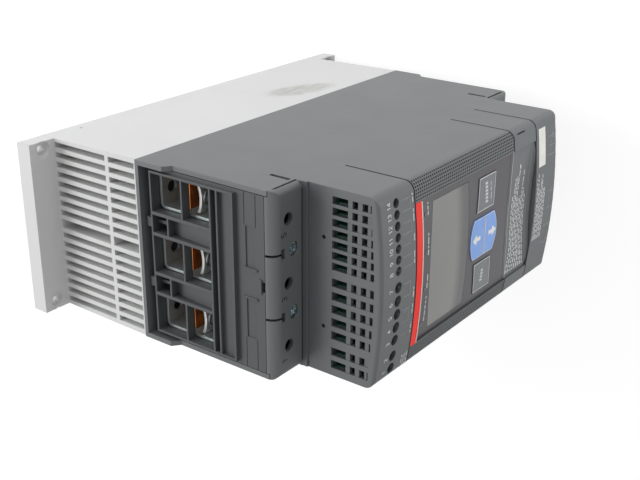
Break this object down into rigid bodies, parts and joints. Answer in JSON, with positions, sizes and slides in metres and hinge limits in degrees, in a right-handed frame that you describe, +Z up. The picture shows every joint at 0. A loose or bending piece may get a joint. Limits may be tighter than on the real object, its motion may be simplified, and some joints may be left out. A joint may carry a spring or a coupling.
{
  "type": "soft starter",
  "caption": "Wall-mounted soft starter with a louvred base, cable clamps at both ends, control terminals, and a keypad with a display on a convex front.",
  "frame": {"origin": "middle of the four fixing holes, in the plane of the wall that the back rests on", "axes": "+X is the unit's right, +Z is up with the line terminals at the top, and the front faces -Y"},
  "size_m": [0.09, 0.185, 0.245],
  "materials": {
    "light_grey_plastic": "fine moulded texture",
    "dark_grey_plastic": "fine moulded texture",
    "keypad_film": "satin film",
    "grey_key_plastic": "satin",
    "blue_key_plastic": "satin",
    "red_film": "satin",
    "display_window": "polished",
    "display_module": "polished",
    "black_plastic": "moulded",
    "module_plastic": "moulded epoxy",
    "terminal_plastic": "moulded",
    "sink_aluminium": "extruded",
    "copper": "bare copper",
    "plated_steel": "bright plated",
    "zinc_steel": "blue zinc",
    "dome_steel": "sprung sheet",
    "circuit_board": "solder resist",
    "clear_plastic": "clear"
  },
  "bodies": {
    "unit": {"base_housing": "light_grey_plastic", "heat_sink": "sink_aluminium", "fan_frame": "black_plastic", "thyristor_left": "module_plastic", "thyristor_right": "module_plastic", "line_bus_bar_left": "copper", "line_bus_bar_right": "copper", "load_bus_bar_left": "copper", "load_bus_bar_right": "copper", "middle_bus_bar": "copper", "bypass_relay_left": "black_plastic", "bypass_relay_right": "black_plastic", "current_sensor_left": "black_plastic", "current_sensor_right": "black_plastic", "power_board": "circuit_board", "main_housing": "dark_grey_plastic", "line_cable_shroud": "dark_grey_plastic", "load_cable_shroud": "dark_grey_plastic", "line_terminal_cover": "dark_grey_plastic", "load_terminal_cover": "dark_grey_plastic", "pressure_saddles": "plated_steel", "cover_screws": "zinc_steel", "housing_screws": "zinc_steel", "control_housing": "dark_grey_plastic", "supply_terminal_block": "terminal_plastic", "relay_terminal_block": "terminal_plastic", "input_terminal_block": "terminal_plastic", "terminal_screws": "zinc_steel", "control_board": "circuit_board", "keypad_bezel": "dark_grey_plastic", "keypad_panel": "keypad_film", "red_strip": "red_film", "display_window": "display_window", "display_module": "display_module", "keypad_board": "circuit_board", "key_domes": "dome_steel", "light_pipes": "clear_plastic", "scoop_lid": "dark_grey_plastic"},
    "fan_rotor": {"fan_rotor": "black_plastic"},
    "select_key": {"select_key": "grey_key_plastic"},
    "exit_key": {"exit_key": "grey_key_plastic"},
    "up_key": {"up_key": "blue_key_plastic"},
    "down_key": {"down_key": "blue_key_plastic"},
    "line_screw_left": {"line_screw_left": "zinc_steel"},
    "line_cage_left": {"line_cage_left": "plated_steel"},
    "line_screw_middle": {"line_screw_middle": "zinc_steel"},
    "line_cage_middle": {"line_cage_middle": "plated_steel"},
    "line_screw_right": {"line_screw_right": "zinc_steel"},
    "line_cage_right": {"line_cage_right": "plated_steel"},
    "load_screw_left": {"load_screw_left": "zinc_steel"},
    "load_cage_left": {"load_cage_left": "plated_steel"},
    "load_screw_middle": {"load_screw_middle": "zinc_steel"},
    "load_cage_middle": {"load_cage_middle": "plated_steel"},
    "load_screw_right": {"load_screw_right": "zinc_steel"},
    "load_cage_right": {"load_cage_right": "plated_steel"}
  },
  "joints": [
    {"name": "fan_spin", "type": "hinge", "parent": "unit", "child": "fan_rotor", "pos_m": [0, -0.033, -0.0892], "axis": [0, 0, 1], "continuous": true},
    {"name": "select_key_press", "type": "slide", "parent": "unit", "child": "select_key", "axis": [0, 1, 0], "range_m": [0, 0.0005], "stiffness_N_per_m": 300},
    {"name": "exit_key_press", "type": "slide", "parent": "unit", "child": "exit_key", "axis": [0, 1, 0], "range_m": [0, 0.0005], "stiffness_N_per_m": 300},
    {"name": "up_key_press", "type": "slide", "parent": "unit", "child": "up_key", "axis": [0, 1, 0], "range_m": [0, 0.0005], "stiffness_N_per_m": 300},
    {"name": "down_key_press", "type": "slide", "parent": "unit", "child": "down_key", "axis": [0, 1, 0], "range_m": [0, 0.0005], "stiffness_N_per_m": 300},
    {"name": "line_screw_left_turn", "type": "hinge", "parent": "unit", "child": "line_screw_left", "pos_m": [-0.0304, -0.115, 0.0946], "axis": [0, 1, 0], "range_deg": [0, 1930]},
    {"name": "line_cage_left_lift", "type": "slide", "parent": "unit", "child": "line_cage_left", "axis": [0, -1, 0], "range_m": [0, 0.008]},
    {"name": "line_screw_middle_turn", "type": "hinge", "parent": "unit", "child": "line_screw_middle", "pos_m": [0, -0.115, 0.0946], "axis": [0, 1, 0], "range_deg": [0, 1930]},
    {"name": "line_cage_middle_lift", "type": "slide", "parent": "unit", "child": "line_cage_middle", "axis": [0, -1, 0], "range_m": [0, 0.008]},
    {"name": "line_screw_right_turn", "type": "hinge", "parent": "unit", "child": "line_screw_right", "pos_m": [0.0304, -0.115, 0.0946], "axis": [0, 1, 0], "range_deg": [0, 1930]},
    {"name": "line_cage_right_lift", "type": "slide", "parent": "unit", "child": "line_cage_right", "axis": [0, -1, 0], "range_m": [0, 0.008]},
    {"name": "load_screw_left_turn", "type": "hinge", "parent": "unit", "child": "load_screw_left", "pos_m": [-0.0304, -0.115, -0.0946], "axis": [0, 1, 0], "range_deg": [0, 1930]},
    {"name": "load_cage_left_lift", "type": "slide", "parent": "unit", "child": "load_cage_left", "axis": [0, -1, 0], "range_m": [0, 0.008]},
    {"name": "load_screw_middle_turn", "type": "hinge", "parent": "unit", "child": "load_screw_middle", "pos_m": [0, -0.115, -0.0946], "axis": [0, 1, 0], "range_deg": [0, 1930]},
    {"name": "load_cage_middle_lift", "type": "slide", "parent": "unit", "child": "load_cage_middle", "axis": [0, -1, 0], "range_m": [0, 0.008]},
    {"name": "load_screw_right_turn", "type": "hinge", "parent": "unit", "child": "load_screw_right", "pos_m": [0.0304, -0.115, -0.0946], "axis": [0, 1, 0], "range_deg": [0, 1930]},
    {"name": "load_cage_right_lift", "type": "slide", "parent": "unit", "child": "load_cage_right", "axis": [0, -1, 0], "range_m": [0, 0.008]}
  ],
  "couplings": [
    {"joint": "line_screw_left_turn", "follows": "line_cage_left_lift", "rad_per_m": 4188.8},
    {"joint": "line_screw_middle_turn", "follows": "line_cage_middle_lift", "rad_per_m": 4188.8},
    {"joint": "line_screw_right_turn", "follows": "line_cage_right_lift", "rad_per_m": 4188.8},
    {"joint": "load_screw_left_turn", "follows": "load_cage_left_lift", "rad_per_m": 4188.8},
    {"joint": "load_screw_middle_turn", "follows": "load_cage_middle_lift", "rad_per_m": 4188.8},
    {"joint": "load_screw_right_turn", "follows": "load_cage_right_lift", "rad_per_m": 4188.8}
  ]
}
